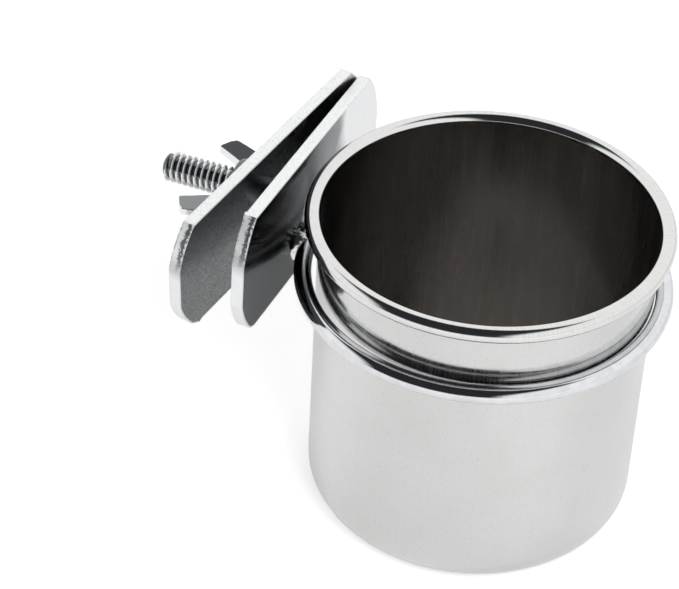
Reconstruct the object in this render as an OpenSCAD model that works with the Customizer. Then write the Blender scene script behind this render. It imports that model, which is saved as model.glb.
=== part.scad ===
// Stainless steel seed cup that lifts out of a wire ring, with a screw clamp for cage bars.
// Origin: centre of the cup's flat base. +Z up the cup's axis, -X towards the clamp.

/* [Cup] */
// Outside diameter of the straight wall
cup_od = 63.7; // [48:0.1:90]
// Height from the flat base to the top of the rolled rim
cup_h = 64.8; // [48:0.1:90]
// Thickness of the drawn sheet
sheet_t = 0.45; // [0.3:0.05:0.8]
// Outside radius of the corner between wall and base
base_corner_r = 5.8; // [3:0.1:12]
// How far the rolled rim stands out of the wall
rim_lip = 2.65; // [1.8:0.05:4]
// Angle left open between the raw edge of the roll and the wall
roll_open = 62; // [40:1:100]

/* [Ring] */
// Diameter of the wire
wire_d = 3.4; // [2.4:0.1:5]
// Play between the cup's wall and the ring, all round
ring_play = 0.49; // [0.42:0.01:0.8]
// Depth of the ring's middle below the rim, with the cup raised
ring_below_rim = 14.55; // [8:0.05:24]
// How far the ring hangs over towards the clamp
ring_shift_x = 0.35; // [0:0.01:0.36]
// How far the ring hangs over to the side
ring_shift_y = 0.14; // [0:0.01:0.18]

/* [Clamp jaws] */
// Length of a jaw from corner to corner
jaw_len = 53.5; // [38:0.1:72]
// Height of a jaw
jaw_h = 25.4; // [17:0.1:34]
// How far the curved end of a jaw stands out past its corners
jaw_bow = 5.5; // [3:0.1:7]
// Thickness of a jaw
jaw_t = 2.34; // [1.5:0.01:3.5]
// Radius of the two lower corners of a jaw
jaw_corner_r = 4.2; // [1:0.1:6]
// How much of a jaw's open end (-Y) is cut off square
jaw_end_cut = 0.6; // [0.2:0.1:1.5]
// Turn of the fixed jaw in its own plane
fixed_turn = -2.2; // [-6:0.1:6]
// Place of the fixed jaw's middle along the jaw, from the stud
fixed_mid_y = 0.9; // [-2:0.05:2]
// Height of the fixed jaw's middle above the stud
fixed_mid_z = 0.7; // [-2:0.05:2]
// Turn of the loose jaw in its own plane
loose_turn = 5; // [-6:0.1:8]
// Place of the loose jaw's middle along the jaw, from the stud, when closed
loose_mid_y = -0.2; // [-2:0.05:2]
// Height of the loose jaw's middle above the stud, when closed
loose_mid_z = -0.45; // [-2:0.05:2]
// Angle between the jaws
open_angle = 9.3; // [2:0.1:12]
// Lean of the line at the closed end (+Y) on which the loose jaw turns
pivot_lean = 12.4; // [0:0.1:20]

/* [Stud and nut] */
// Outside diameter of the thread
stud_d = 6.2; // [4.2:0.1:8]
// Pitch of the thread
pitch = 1.27; // [0.7:0.01:1.6]
// Length of the stud beyond the fixed jaw
stud_len = 28.3; // [24:0.1:42]
// Height of the stud above the middle of the ring
stud_above_ring = 4.35; // [0:0.05:8]
// Diameter of the riveted end of the stud
rivet_d = 8.4; // [7.4:0.1:11]
// Depth of the countersink that the riveted end fills
rivet_depth = 0.8; // [0.5:0.1:1.4]
// Outside diameter of the washer
washer_od = 12.7; // [11:0.1:18]
// Thickness of the washer
washer_t = 1; // [0.6:0.1:2]
// Diameter of the nut's base
hub_base_d = 12.3; // [11:0.1:16]
// Diameter of the nut's hub at its top
hub_top_d = 10.4; // [9.5:0.1:14]
// Height of the nut's hub
hub_h = 3.4; // [3:0.1:6]
// Height from the nut's base to the tips of its wings
nut_h = 11.3; // [9:0.1:16]
// Width across the two wings
wing_span = 25; // [21:0.1:36]
// Thickness of a wing
wing_t = 1.9; // [1.2:0.1:3]

/* [Clearances] */
// Gap between faces that touch on the real thing
seat_gap = 0.03; // [0.02:0.01:0.08]
// Gap between the loose jaw and the washer
bear_gap = 0.05; // [0.04:0.01:0.1]
// Play of the nut's bore on the thread
thread_play = 0.05; // [0.03:0.01:0.1]
// Play of the washer's hole round the stud
washer_play = 0.25; // [0.1:0.05:0.5]
// Play of the loose jaw's hole round the stud
jaw_play = 1.1; // [0.9:0.05:1.6]

/* [Hidden] */
$fn = 96;
// Overrun of cuts past the faces that they leave
over = 1;

// Cup
cup_r = cup_od / 2;
roll_r = (rim_lip + sheet_t) / 2;
roll_x = cup_r - sheet_t + roll_r;
roll_z = cup_h - roll_r;

// Ring
wire_r = wire_d / 2;
ring_r = cup_r + ring_play + wire_r;
ring_z = cup_h - ring_below_rim;

// Fixed jaw, outwards from the ring: depths are counted along -X
inner_face = ring_shift_x + ring_r + wire_r + seat_gap;
outer_face = inner_face + jaw_t;
stud_r = stud_d / 2;
stud_z = ring_z + stud_above_ring;

// Curved end of a jaw: one arc through the two corners
jaw_end_r = (pow(jaw_h / 2, 2) + pow(jaw_bow, 2)) / (2 * jaw_bow);
jaw_end_x = jaw_len / 2 + jaw_bow - jaw_end_r;

// Middle of the rounding of a lower corner, and the way from the arc's middle through it
corner_rise = jaw_corner_r - jaw_h / 2;
corner_mid = [jaw_end_x + sqrt(pow(jaw_end_r - jaw_corner_r, 2) - pow(corner_rise, 2)), corner_rise];
corner_dir = (corner_mid - [jaw_end_x, 0]) / (jaw_end_r - jaw_corner_r);
waste_r = jaw_corner_r + over;
// How far the rounding stands past the edges that it meets, so that it crosses them cleanly
corner_proud = 0.02;

// Line at the closed end on which the loose jaw turns, as a distance from the stud
pivot_dir = [cos(pivot_lean), sin(pivot_lean)];
pivot_reach = loose_mid_y * pivot_dir[0] + loose_mid_z * pivot_dir[1]
              + jaw_end_x * cos(pivot_lean - loose_turn) + jaw_end_r;

// Washer and nut rest on the open jaw where it stands out furthest
jaw_back = seat_gap + jaw_t / cos(open_angle)
           + (pivot_reach + washer_od / 2) * tan(open_angle);
washer_face = outer_face + jaw_back + bear_gap;
nut_face = washer_face + washer_t + seat_gap;

// Thread form, in shares of the pitch
thread_depth_share = 0.6;
crest_share = 0.14;
root_share = 0.25;
flank_share = (1 - crest_share - root_share) / 2;
thread_root_r = stud_r - thread_depth_share * pitch;
turns = floor((stud_len - pitch) / pitch);

// Weld beads, two lumps on each side of the place where the ring meets the jaw
weld_r = 0.7 * wire_d;
weld_side = 1.6 * wire_d;
weld_rise = 0.1 * wire_d;
weld_out = 0.07 * wire_d;
lump_r = 0.55 * wire_d;
lump_side = 2.35 * wire_d;
lump_out = 0.3 * wire_d;
lump_drop = 0.2 * wire_d;

// Wing outline, in shares of the nut's height and half span
half_span = wing_span / 2;
wing_round_r = wing_t / 3;
wing_corner_shares = [[0.18, 0.4], [0.1, 0.45], [0.35, 0.84], [0.8, 1], [1, 0.78], [1, 0.72]];

// Half section of the cup: flat base, corner, wall and rolled rim
module cup_section() {
    square([cup_r - base_corner_r, sheet_t]);
    translate([cup_r - base_corner_r, base_corner_r])
        difference() {
            circle(r = base_corner_r);
            circle(r = base_corner_r - sheet_t);
            translate([-base_corner_r - over, 0])
                square([2 * (base_corner_r + over), base_corner_r + over]);
            translate([-base_corner_r - over, -base_corner_r - over])
                square([base_corner_r + over, 2 * (base_corner_r + over)]);
        }
    translate([cup_r - sheet_t, base_corner_r])
        square([sheet_t, roll_z - base_corner_r]);
    translate([roll_x, roll_z])
        difference() {
            circle(r = roll_r);
            circle(r = roll_r - sheet_t);
            rotate(180)
                polygon([[0, 0], [roll_r + over, 0],
                         (roll_r + over) * [1, tan(roll_open / 2)],
                         (roll_r + over) / cos(roll_open / 2) * [cos(roll_open), sin(roll_open)]]);
        }
}

module cup() {
    color("gainsboro")
        rotate_extrude()
            cup_section();
}

// The wire is bent round until its ends meet behind the fixed jaw
module ring_wire(grow = 0) {
    translate([-ring_shift_x, -ring_shift_y, ring_z])
        rotate_extrude()
            translate([ring_r, 0])
                rotate(180)
                    circle(r = wire_r + grow);
}

module holder_ring() {
    color("lightgray")
        ring_wire();
}

module weld_lumps(side) {
    translate([-inner_face + weld_out, side * weld_side, ring_z + weld_rise])
        rotate([0, 90, 0])
            sphere(r = weld_r);
    translate([-inner_face + lump_out, side * lump_side, ring_z - lump_drop])
        rotate([0, 90, 0])
            sphere(r = lump_r);
}

module ring_weld() {
    color("darkgray")
        difference() {
            union() {
                weld_lumps(-1);
                weld_lumps(1);
            }
            ring_wire(seat_gap);
            translate([-inner_face - jaw_t, -jaw_len / 2, ring_z - jaw_h / 2])
                cube([jaw_t + seat_gap, jaw_len, jaw_h]);
        }
}

// Outline of a jaw about its middle: a strip with curved ends, the open one cut off square
module jaw_outline() {
    difference() {
        intersection() {
            translate([-jaw_len / 2 - jaw_bow + jaw_end_cut, -jaw_h / 2])
                square([jaw_len + 2 * jaw_bow - jaw_end_cut, jaw_h]);
            union() {
                square([2 * jaw_end_x, jaw_h + 2 * over], center = true);
                for (side = [-1, 1])
                    translate([side * jaw_end_x, 0])
                        circle(r = jaw_end_r);
            }
        }
        corner_waste();
        mirror([1, 0])
            corner_waste();
    }
}

// What is rounded off a lower corner, between the straight edge and the curved end
module corner_waste() {
    translate(corner_mid)
        difference() {
            polygon([[0, 0], waste_r * [0, -1], waste_r * (corner_dir - [0, 1]) / (1 - corner_dir[1]),
                     waste_r * corner_dir]);
            circle(r = jaw_corner_r + corner_proud);
        }
}

// Stands a flat outline up in the jaw's plane: its x along +Y, its y along +Z, its depth along -X
module stand_up() {
    multmatrix([[0, 0, -1, 0], [1, 0, 0, 0], [0, 1, 0, 0], [0, 0, 0, 1]])
        children();
}

module jaw_blank(turn, mid_y, mid_z, hole_r) {
    linear_extrude(height = jaw_t)
        difference() {
            translate([mid_y, mid_z])
                rotate(turn)
                    jaw_outline();
            circle(r = hole_r);
        }
}

module inner_plate() {
    color("silver")
        translate([-inner_face, 0, stud_z])
            stand_up()
                difference() {
                    jaw_blank(fixed_turn, fixed_mid_y, fixed_mid_z, stud_r + seat_gap);
                    translate([0, 0, -over])
                        cylinder(r = rivet_d / 2 + seat_gap, h = over);
                    cylinder(r1 = rivet_d / 2 + seat_gap, r2 = stud_r + seat_gap, h = rivet_depth);
                }
}

// The loose jaw lies flat on the fixed one when closed, and turns open about its closed end
module outer_plate() {
    color("silver")
        translate([-outer_face - seat_gap, 0, stud_z])
            rotate([pivot_lean, 0, 0])
                translate([0, pivot_reach, 0])
                    rotate([0, 0, -open_angle])
                        translate([0, -pivot_reach, 0])
                            rotate([-pivot_lean, 0, 0])
                                stand_up()
                                    jaw_blank(loose_turn, loose_mid_y, loose_mid_z, stud_r + jaw_play);
}

// One turn of the thread as points along the stud's axis
function thread_turn(z) = [
    [thread_root_r, z],
    [stud_r, z + flank_share * pitch],
    [stud_r, z + (flank_share + crest_share) * pitch],
    [thread_root_r, z + (1 - root_share) * pitch]
];

module stud_section() {
    tip = jaw_t + stud_len;
    start = tip - pitch - turns * pitch;
    polygon(concat(
        [[0, 0], [rivet_d / 2, 0], [stud_r, rivet_depth], [stud_r, start - pitch / 2]],
        [for (i = [0 : turns - 1]) each thread_turn(start + i * pitch)],
        [[thread_root_r, tip - pitch], [thread_root_r, tip - pitch / 2], [thread_root_r - pitch / 2, tip],
         [0, tip]]
    ));
}

module clamp_stud() {
    color("silver")
        translate([-inner_face, 0, stud_z])
            rotate([0, -90, 0])
                rotate_extrude()
                    stud_section();
}

module washer() {
    color("lightgray")
        translate([-washer_face, 0, stud_z])
            rotate([0, -90, 0])
                difference() {
                    cylinder(d = washer_od, h = washer_t);
                    translate([0, 0, -over])
                        cylinder(r = stud_r + washer_play, h = washer_t + 2 * over);
                }
}

// One wing as a flat outline: x outwards from the axis, y up from the nut's base
module wing_outline() {
    hull()
        for (share = wing_corner_shares)
            translate([share[1] * half_span - wing_round_r,
                       share[0] * nut_h - sign(share[0] - 0.5) * wing_round_r])
                circle(r = wing_round_r, $fn = 32);
}

module wing_nut() {
    color("lightgray")
        translate([-nut_face, 0, stud_z])
            rotate([0, -90, 0])
                difference() {
                    union() {
                        cylinder(d1 = hub_base_d, d2 = hub_top_d, h = hub_h);
                        for (side = [0, 180])
                            rotate([0, 0, side])
                                rotate([90, 0, 90])
                                    translate([0, 0, -wing_t / 2])
                                        linear_extrude(height = wing_t)
                                            wing_outline();
                    }
                    translate([0, 0, -over])
                        cylinder(r = stud_r + thread_play, h = nut_h + 2 * over);
                }
}

cup();
holder_ring();
ring_weld();
inner_plate();
clamp_stud();
outer_plate();
washer();
wing_nut();
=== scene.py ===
"""A steel seed cup that lifts out of a wire ring, with a screw clamp for cage bars."""

import math

import bmesh
import bpy
from mathutils import Matrix, Vector, noise


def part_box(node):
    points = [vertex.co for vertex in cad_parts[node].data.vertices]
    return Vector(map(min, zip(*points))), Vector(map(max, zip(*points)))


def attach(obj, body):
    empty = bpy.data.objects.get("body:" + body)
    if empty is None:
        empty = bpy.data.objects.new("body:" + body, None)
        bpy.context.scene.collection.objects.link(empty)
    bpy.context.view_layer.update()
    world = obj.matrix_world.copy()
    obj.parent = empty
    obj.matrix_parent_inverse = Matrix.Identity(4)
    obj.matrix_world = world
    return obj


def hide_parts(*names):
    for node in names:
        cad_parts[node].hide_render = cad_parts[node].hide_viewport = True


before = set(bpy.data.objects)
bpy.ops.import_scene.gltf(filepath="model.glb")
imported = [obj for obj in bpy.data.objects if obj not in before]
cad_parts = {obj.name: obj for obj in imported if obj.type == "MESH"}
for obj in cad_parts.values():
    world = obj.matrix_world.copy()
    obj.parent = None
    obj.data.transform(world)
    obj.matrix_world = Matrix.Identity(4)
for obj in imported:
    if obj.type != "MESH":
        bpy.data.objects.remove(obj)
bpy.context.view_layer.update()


# The cup is one disc of stainless sheet, deep drawn to a flat base with a rounded corner, and its rim
# is rolled outwards into a bead. The outside is buffed with fine upright hairlines, the bead is
# polished across, and the inside keeps the duller skin of the drawing, with fine slanting scratches.

def linear(hex_colour):
    """An sRGB colour written as #RRGGBB, as the linear colour that a socket takes."""
    parts = [int(hex_colour[i:i + 2], 16) / 255 for i in (1, 3, 5)]
    return tuple(c / 12.92 if c < 0.04045 else ((c + 0.055) / 1.055) ** 2.4 for c in parts) + (1,)


def feed(tree, node, inputs):
    """Gives a node its values and links, by input."""
    for key, value in inputs.items():
        if isinstance(value, bpy.types.NodeSocket):
            tree.links.new(value, node.inputs[key])
        else:
            node.inputs[key].default_value = value


def add(tree, kind, settings=None, inputs=None):
    """Adds a node to a tree, with its settings, its colour stops, and its values or links by input."""
    made = tree.nodes.new(kind)
    for name, value in (settings or {}).items():
        if name == "stops":
            elements = made.color_ramp.elements
            while len(elements) < len(value):
                elements.new(0)
            for element, (place, colour) in zip(elements, value):
                element.position = place
                element.color = linear(colour)
        else:
            setattr(made, name, value)
    feed(tree, made, inputs or {})
    return made


def new_material(name, metallic):
    """A material with its shader and output in place, and the coordinates that its patterns read."""
    made = bpy.data.materials.new(name)
    made.use_nodes = True
    tree = made.node_tree
    tree.nodes.clear()
    shader = add(tree, "ShaderNodeBsdfPrincipled", None, {"Metallic": metallic})
    add(tree, "ShaderNodeOutputMaterial", None, {"Surface": shader.outputs[0]})
    place = add(tree, "ShaderNodeTexCoord")
    return made, tree, shader, place


def in_scene(name, data):
    """A new object with this data, in the scene."""
    made = bpy.data.objects.new(name, data)
    bpy.context.scene.collection.objects.link(made)
    return made


def made_of(name, bm, materials=()):
    """Turns mesh code into an object with its faces outwards and its materials in place."""
    bmesh.ops.recalc_face_normals(bm, faces=bm.faces)
    mesh = bpy.data.meshes.new(name)
    bm.to_mesh(mesh)
    bm.free()
    for material in materials:
        mesh.materials.append(material)
    return in_scene(name, mesh)


def revolved(name, profile, sides, zones, materials):
    """A shape turned round Z from (radius, height) points, with a material for each zone of points."""
    bm = bmesh.new()
    turn = [2 * math.pi * i / sides for i in range(sides)]
    rings = []
    for radius, height in profile:
        if radius == 0:
            rings.append([bm.verts.new((0, 0, height))])
            continue
        rings.append([bm.verts.new((radius * math.cos(a), radius * math.sin(a), height)) for a in turn])
    uv = bm.loops.layers.uv.new("run")
    along = [0]
    for a, b in zip(profile, profile[1:]):
        along.append(along[-1] + math.dist(a, b))
    for j, (low, high) in enumerate(zip(rings, rings[1:])):
        for i in range(sides):
            k = (i + 1) % sides
            corners = [(low[i % len(low)], i, j), (low[k % len(low)], i + 1, j),
                       (high[k % len(high)], i + 1, j + 1), (high[i % len(high)], i, j + 1)]
            if len(low) == 1:
                corners = [corners[0], corners[2], corners[3]]
            elif len(high) == 1:
                corners = corners[:3]
            face = bm.faces.new([c[0] for c in corners])
            face.smooth = True
            face.material_index = zones[j]
            for loop, (_, step, row) in zip(face.loops, corners):
                loop[uv].uv = (step / sides, along[row])
    return made_of(name, bm, materials)


def arc(centre, radius, start, end, steps):
    """Points of an arc, with its angles in degrees."""
    turn = [math.radians(start + (end - start) * i / steps) for i in range(steps + 1)]
    return [(centre[0] + radius * math.cos(a), centre[1] + radius * math.sin(a)) for a in turn]


CUP_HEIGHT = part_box("cup")[1].z
SHEET = 0.00045
WALL_RADIUS = 0.03185
CORNER_RADIUS = 0.0058
ROLL_RADIUS = 0.00155
# The roll stops this many degrees short of closing on the wall
ROLL_OPEN = 62
BASE_RINGS = (0, 0.009, 0.018)
WALL_STEPS = 12
roll_mid = (WALL_RADIUS - SHEET + ROLL_RADIUS, CUP_HEIGHT - ROLL_RADIUS)
corner_mid = (WALL_RADIUS - CORNER_RADIUS, CORNER_RADIUS)

wall_rise = roll_mid[1] - CORNER_RADIUS
outside = [(radius, 0) for radius in BASE_RINGS]
outside += arc(corner_mid, CORNER_RADIUS, -90, 0, 20)
outside += [(WALL_RADIUS, CORNER_RADIUS + wall_rise * i / WALL_STEPS) for i in range(1, WALL_STEPS)]
inner_roll = arc(roll_mid, ROLL_RADIUS - SHEET, 180, ROLL_OPEN - 180, 20)
bead = arc(roll_mid, ROLL_RADIUS, ROLL_OPEN - 180, 180, 48)
inside = [(WALL_RADIUS - SHEET, roll_mid[1] - wall_rise * i / WALL_STEPS) for i in range(1, WALL_STEPS)]
inside += arc(corner_mid, CORNER_RADIUS - SHEET, 0, -90, 20)
inside += [(radius, SHEET) for radius in reversed(BASE_RINGS)]

# Buffed stainless: pale and mirror-like, veiled by hairlines a few hundredths of a millimetre apart,
# drawn here about 0.15 mm apart so that they show.
buffed, tree, shader, place = new_material("buffed_stainless_wall", 1)
hairline_space = add(tree, "ShaderNodeMapping", None,
                     {"Vector": place.outputs["Object"],
                      "Scale": (1 / 0.00030, 1 / 0.00030, 1 / 0.012)})
hairline = add(tree, "ShaderNodeTexNoise", None,
               {"Vector": hairline_space.outputs[0], "Scale": 1.0, "Detail": 4.0, "Roughness": 0.65})
cloud = add(tree, "ShaderNodeTexNoise", None,
            {"Vector": place.outputs["Object"], "Scale": 1 / 0.016, "Detail": 3.0})
speck = add(tree, "ShaderNodeTexNoise", None,
            {"Vector": place.outputs["Object"], "Scale": 1 / 0.0004, "Detail": 2.0})
wall_tone = add(tree, "ShaderNodeValToRGB", {"stops": [(0.3, "#D9D9D8"), (0.7, "#DEDEDE")]},
                {"Fac": cloud.outputs["Fac"]})
speck_tone = add(tree, "ShaderNodeValToRGB", {"stops": [(0.3, "#C9C9C8"), (0.42, "#FFFFFF")]},
                 {"Fac": speck.outputs["Fac"]})
wall_colour = add(tree, "ShaderNodeMix", {"data_type": "RGBA", "blend_type": "MULTIPLY"},
                  {"Factor": 0.25, "A": wall_tone.outputs[0], "B": speck_tone.outputs[0]})
wall_gloss = add(tree, "ShaderNodeMapRange", None,
                 {"Value": hairline.outputs["Fac"], "From Min": 0.3, "From Max": 0.7,
                  "To Min": 0.07, "To Max": 0.2})
wall_bump = add(tree, "ShaderNodeBump", None,
                {"Height": hairline.outputs["Fac"], "Strength": 0.12, "Distance": 0.00003})
feed(tree, shader, {"Base Color": wall_colour.outputs["Result"], "Roughness": wall_gloss.outputs[0],
                    "Normal": wall_bump.outputs[0]})

# The bead is polished round and then touched across, which leaves short fine lines from its inner
# to its outer side and a few bright nicks. The lines are about 0.08 mm apart round the rim.
rim, tree, shader, place = new_material("polished_stainless_bead", 1)
CROSS_LINES = 2600
cross_space = add(tree, "ShaderNodeMapping", None,
                  {"Vector": place.outputs["UV"], "Scale": (CROSS_LINES, 1 / 0.00625, 1)})
cross_line = add(tree, "ShaderNodeTexNoise", None,
                 {"Vector": cross_space.outputs[0], "Scale": 1.0, "Detail": 3.0, "Roughness": 0.6})
rim_tone = add(tree, "ShaderNodeValToRGB", {"stops": [(0.3, "#DADAD9"), (0.65, "#EAEAE9")]},
               {"Fac": cross_line.outputs["Fac"]})
rim_gloss = add(tree, "ShaderNodeMapRange", None,
                {"Value": cross_line.outputs["Fac"], "From Min": 0.3, "From Max": 0.7,
                 "To Min": 0.07, "To Max": 0.14})
rim_bump = add(tree, "ShaderNodeBump", None,
               {"Height": cross_line.outputs["Fac"], "Strength": 0.1, "Distance": 0.00002})
feed(tree, shader, {"Base Color": rim_tone.outputs[0], "Roughness": rim_gloss.outputs[0],
                    "Normal": rim_bump.outputs[0]})

# The drawn inside is duller than the buffed wall, a warm grey, with fine slanting scratches about
# 0.6 mm apart that are lighter than the skin they cut.
drawn, tree, shader, place = new_material("drawn_stainless_inside", 1)
scratch_space = add(tree, "ShaderNodeMapping", None,
                    {"Vector": place.outputs["Object"], "Rotation": (0.5, 0.35, 0.4),
                     "Scale": (1 / 0.0006, 1 / 0.0006, 1 / 0.012)})
scratch = add(tree, "ShaderNodeTexNoise", None,
              {"Vector": scratch_space.outputs[0], "Scale": 1.0, "Detail": 2.0, "Roughness": 0.7})
scratch_line = add(tree, "ShaderNodeMapRange", None,
                   {"Value": scratch.outputs["Fac"], "From Min": 0.52, "From Max": 0.74,
                    "To Max": 0.35})
rub_space = add(tree, "ShaderNodeMapping", None,
                {"Vector": place.outputs["Object"], "Scale": (1 / 0.007, 1 / 0.007, 1 / 0.05)})
rub = add(tree, "ShaderNodeTexNoise", None,
          {"Vector": rub_space.outputs[0], "Scale": 1.0, "Detail": 2.0, "Roughness": 0.4})
inside_tone = add(tree, "ShaderNodeValToRGB", {"stops": [(0.35, "#ABA8A5"), (0.65, "#BAB7B5")]},
                  {"Fac": rub.outputs["Fac"]})
inside_colour = add(tree, "ShaderNodeMix", {"data_type": "RGBA"},
                    {"Factor": scratch_line.outputs[0], "A": inside_tone.outputs[0],
                     "B": linear("#E2E0DE")})
inside_gloss = add(tree, "ShaderNodeMapRange", None,
                   {"Value": rub.outputs["Fac"], "From Min": 0.3, "From Max": 0.7,
                    "To Min": 0.2, "To Max": 0.3})
inside_bump = add(tree, "ShaderNodeBump", None,
                  {"Height": scratch.outputs["Fac"], "Strength": 0.15, "Distance": 0.00004})
feed(tree, shader, {"Base Color": inside_colour.outputs["Result"],
                    "Roughness": inside_gloss.outputs[0], "Normal": inside_bump.outputs[0]})

CUP_SIDES = 256
cup_profile = outside + inner_roll + bead + inside
cup_zones = [0] * (len(outside) + len(inner_roll) - 1)
cup_zones += [1] * len(bead)
cup_zones += [2] * (len(cup_profile) - 1 - len(cup_zones))
cup = revolved("drawn_cup", cup_profile, CUP_SIDES, cup_zones, [buffed, rim, drawn])
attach(cup, "cup")
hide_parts("cup")


# The ring is a length of round steel wire bent to a hoop and polished after welding. The cup's wall
# drops through it and the bead would rest on it. Its finish is brighter and wetter than the cup's.

def tree_for(name, sizes):
    """A Geometry Nodes tree with a named input for each size, its input node, and its sockets."""
    made = bpy.data.node_groups.new(name, "GeometryNodeTree")
    sockets = {}
    for label, value in sizes.items():
        kind = {int: "NodeSocketInt", float: "NodeSocketFloat"}.get(type(value), "NodeSocketVector")
        sockets[label] = made.interface.new_socket(label, in_out="INPUT", socket_type=kind).identifier
    made.interface.new_socket("Geometry", in_out="OUTPUT", socket_type="NodeSocketGeometry")
    return made, add(made, "NodeGroupInput"), sockets


def grown(name, tree, geometry, material, sockets, sizes):
    """Ends a tree, runs it with these sizes and returns the result as a plain mesh object."""
    real = add(tree, "GeometryNodeRealizeInstances", None, {"Geometry": geometry})
    smooth = add(tree, "GeometryNodeSetShadeSmooth", None, {"Geometry": real.outputs[0]})
    finish = add(tree, "GeometryNodeSetMaterial", None,
                 {"Geometry": smooth.outputs[0], "Material": material})
    add(tree, "NodeGroupOutput", None, {0: finish.outputs[0]})
    carrier = in_scene(name + "_carrier", bpy.data.meshes.new(name + "_carrier"))
    modifier = carrier.modifiers.new("grow", "NODES")
    modifier.node_group = tree
    for label, value in sizes.items():
        modifier[sockets[label]] = value
    graph = bpy.context.evaluated_depsgraph_get()
    mesh = bpy.data.meshes.new_from_object(carrier.evaluated_get(graph))
    carrier.modifiers.remove(modifier)
    bpy.data.objects.remove(carrier)
    mesh.name = name
    return in_scene(name, mesh)


# Polished wire: near-mirror steel with faint dents and pits left by the bending rolls.
polished, tree, shader, place = new_material("polished_steel_wire", 1)
dent = add(tree, "ShaderNodeTexNoise", None,
           {"Vector": place.outputs["Object"], "Scale": 1 / 0.0022, "Detail": 2.0})
pit = add(tree, "ShaderNodeTexVoronoi", None,
          {"Vector": place.outputs["Object"], "Scale": 1 / 0.0013, "Randomness": 1.0})
pit_depth = add(tree, "ShaderNodeMapRange", None,
                {"Value": pit.outputs["Distance"], "From Min": 0.0, "From Max": 0.22})
wire_tone = add(tree, "ShaderNodeValToRGB", {"stops": [(0.3, "#DBDDE0"), (0.7, "#E8E9EB")]},
                {"Fac": dent.outputs["Fac"]})
dent_bump = add(tree, "ShaderNodeBump", None,
                {"Height": dent.outputs["Fac"], "Strength": 0.12, "Distance": 0.00005})
pit_bump = add(tree, "ShaderNodeBump", None,
               {"Height": pit_depth.outputs[0], "Strength": 0.3, "Distance": 0.00002,
                "Normal": dent_bump.outputs[0]})
feed(tree, shader, {"Base Color": wire_tone.outputs[0], "Roughness": 0.07,
                    "Normal": pit_bump.outputs[0]})

ring_low, ring_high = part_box("holder_ring")
WIRE_RADIUS = (ring_high.z - ring_low.z) / 2
ring_mid = (ring_low + ring_high) / 2
ring_sizes = {"Hoop radius": (ring_high.x - ring_low.x) / 2 - WIRE_RADIUS,
              "Wire radius": WIRE_RADIUS, "Hoop steps": 288, "Wire steps": 48,
              "Place": tuple(ring_mid)}
tree, given, sockets = tree_for("bent_wire_hoop", ring_sizes)
hoop = add(tree, "GeometryNodeCurvePrimitiveCircle", None,
           {"Radius": given.outputs["Hoop radius"], "Resolution": given.outputs["Hoop steps"]})
section = add(tree, "GeometryNodeCurvePrimitiveCircle", None,
              {"Radius": given.outputs["Wire radius"], "Resolution": given.outputs["Wire steps"]})
swept = add(tree, "GeometryNodeCurveToMesh", None,
            {"Curve": hoop.outputs[0], "Profile Curve": section.outputs[0]})
placed = add(tree, "GeometryNodeTransform", None,
             {"Geometry": swept.outputs[0], "Translation": given.outputs["Place"]})
ring = grown("wire_hoop", tree, placed.outputs[0], polished, sockets, ring_sizes)
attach(ring, "holder")
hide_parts("holder_ring")


# Two beads of weld metal fasten the hoop to the fixed jaw, one on each side of the place where they
# meet. They are lumpy, bright after plating, and have thrown a few beads of spatter on the jaw.

def settle(made):
    """Turns what an object's modifiers make of it into its plain mesh."""
    graph = bpy.context.evaluated_depsgraph_get()
    result = bpy.data.meshes.new_from_object(made.evaluated_get(graph))
    made.modifiers.clear()
    rough = made.data
    made.data = result
    bpy.data.meshes.remove(rough)
    result.name = made.name


def sculpted(name, bm, voxel, rounds):
    """Fuses overlapping closed shapes into one skin and smooths it, as metal that has flowed."""
    made = made_of(name, bm)
    fuse = made.modifiers.new("fuse", "REMESH")
    fuse.mode = "VOXEL"
    fuse.voxel_size = voxel
    fuse.use_smooth_shade = True
    flow = made.modifiers.new("flow", "SMOOTH")
    flow.factor = 0.5
    flow.iterations = rounds
    settle(made)
    return made


# Plated weld metal: wet-looking, with ripples about half a millimetre apart and dark crevices.
weld_metal, tree, shader, place = new_material("plated_weld_metal", 0.8)
ripple = add(tree, "ShaderNodeTexNoise", None,
             {"Vector": place.outputs["Object"], "Scale": 1 / 0.0008, "Detail": 3.0})
weld_tone = add(tree, "ShaderNodeValToRGB", {"stops": [(0.3, "#E0E2E3"), (0.45, "#FAFBFB")]},
                {"Fac": ripple.outputs["Fac"]})
weld_bump = add(tree, "ShaderNodeBump", None,
                {"Height": ripple.outputs["Fac"], "Strength": 0.12, "Distance": 0.0001})
feed(tree, shader, {"Base Color": weld_tone.outputs[0], "Roughness": 0.2,
                    "Normal": weld_bump.outputs[0]})

weld_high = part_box("ring_weld")[1]
jaw_low, jaw_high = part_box("inner_plate")
jaw_face = jaw_high.x
RING_HEIGHT = ring_mid.z
# The metal sank back at its outer end to one blunt slope, which faces out along the jaw
WELD_SLOPE = -0.3
WELD_END = 0.0090
# How far the lumps and that slope swell and dip, and how long each swell is
LUMP_SWELL, LUMP_RUN = 0.00018, 0.0009
END_SWELL, END_RUN = 0.00012, 0.0012
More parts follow.
